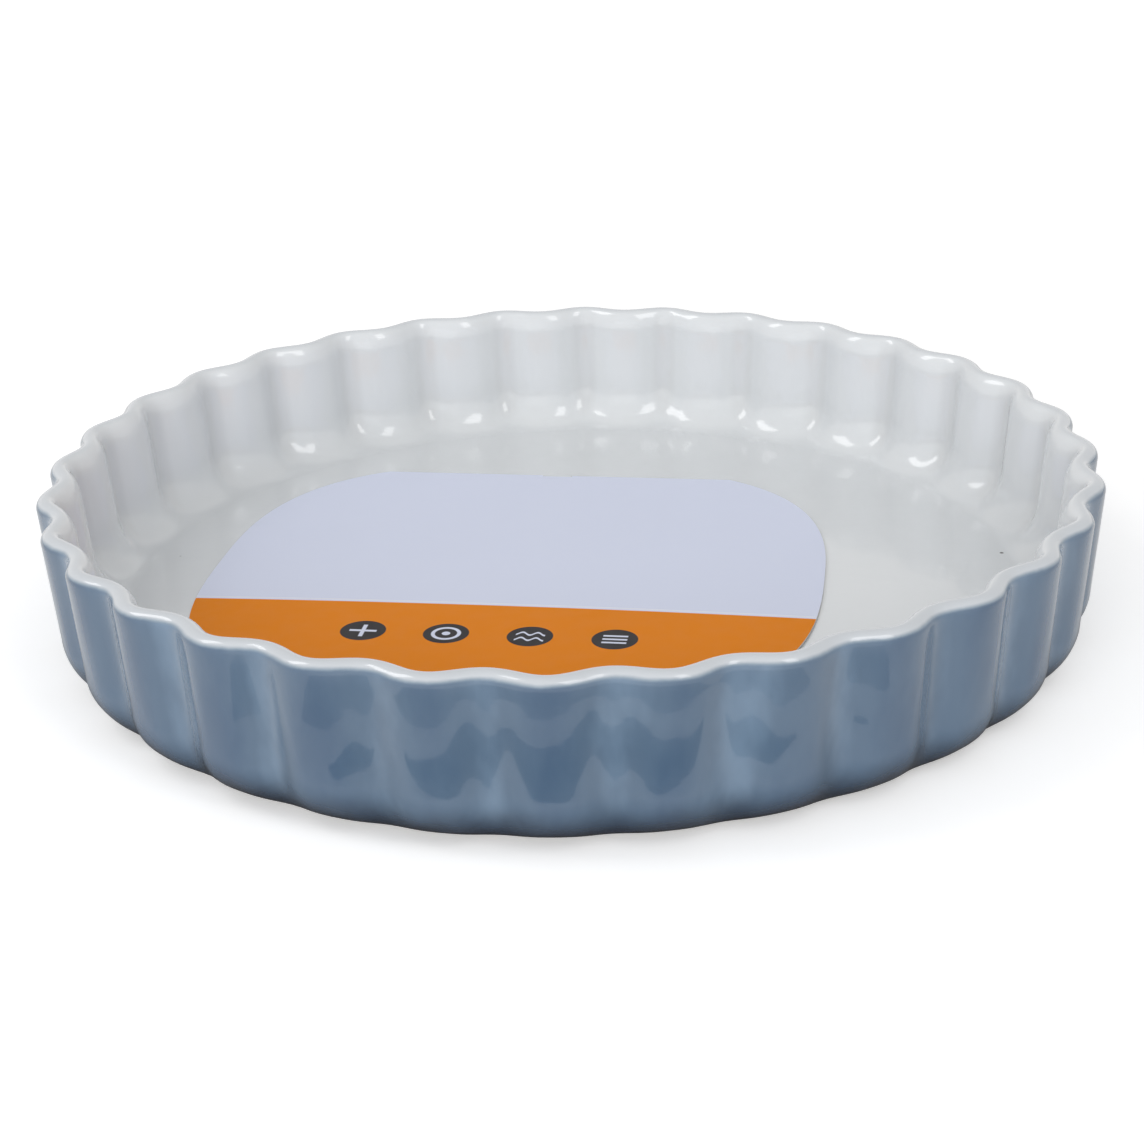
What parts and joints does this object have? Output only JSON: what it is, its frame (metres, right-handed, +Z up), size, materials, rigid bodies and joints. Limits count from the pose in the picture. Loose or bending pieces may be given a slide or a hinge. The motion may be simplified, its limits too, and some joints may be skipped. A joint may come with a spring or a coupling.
{
  "type": "fluted quiche dish",
  "caption": "Round shallow baking dish of glazed stoneware with a fluted wall, rounded lip, flat floor and bare foot ring, and a loose rounded card lying inside.",
  "frame": {"origin": "middle of the plane that the foot ring stands on", "axes": "+Z up out of the dish, with a crest of the fluting on the X and Y axes; the pictured front faces about -Y"},
  "size_m": [0.28, 0.28, 0.0448],
  "materials": {
    "bare_clay": "unglazed, matt and slightly rough",
    "off_white_glaze": "glossy",
    "blue_grey_glaze": "glossy, paler where it thins over edges and in the valleys",
    "off_white_underside_glaze": "glossy",
    "card": "smooth, slightly glossy print"
  },
  "bodies": {
    "dish": {"stoneware_body": "bare_clay", "inner_glaze": "off_white_glaze", "outer_glaze": "blue_grey_glaze", "underside_glaze": "off_white_underside_glaze"},
    "card": {"information_card": "card"}
  },
  "joints": [
    {"name": "card_lift", "type": "slide", "parent": "dish", "child": "card", "axis": [0, 0, 1], "range_m": [0, 0.06]}
  ]
}
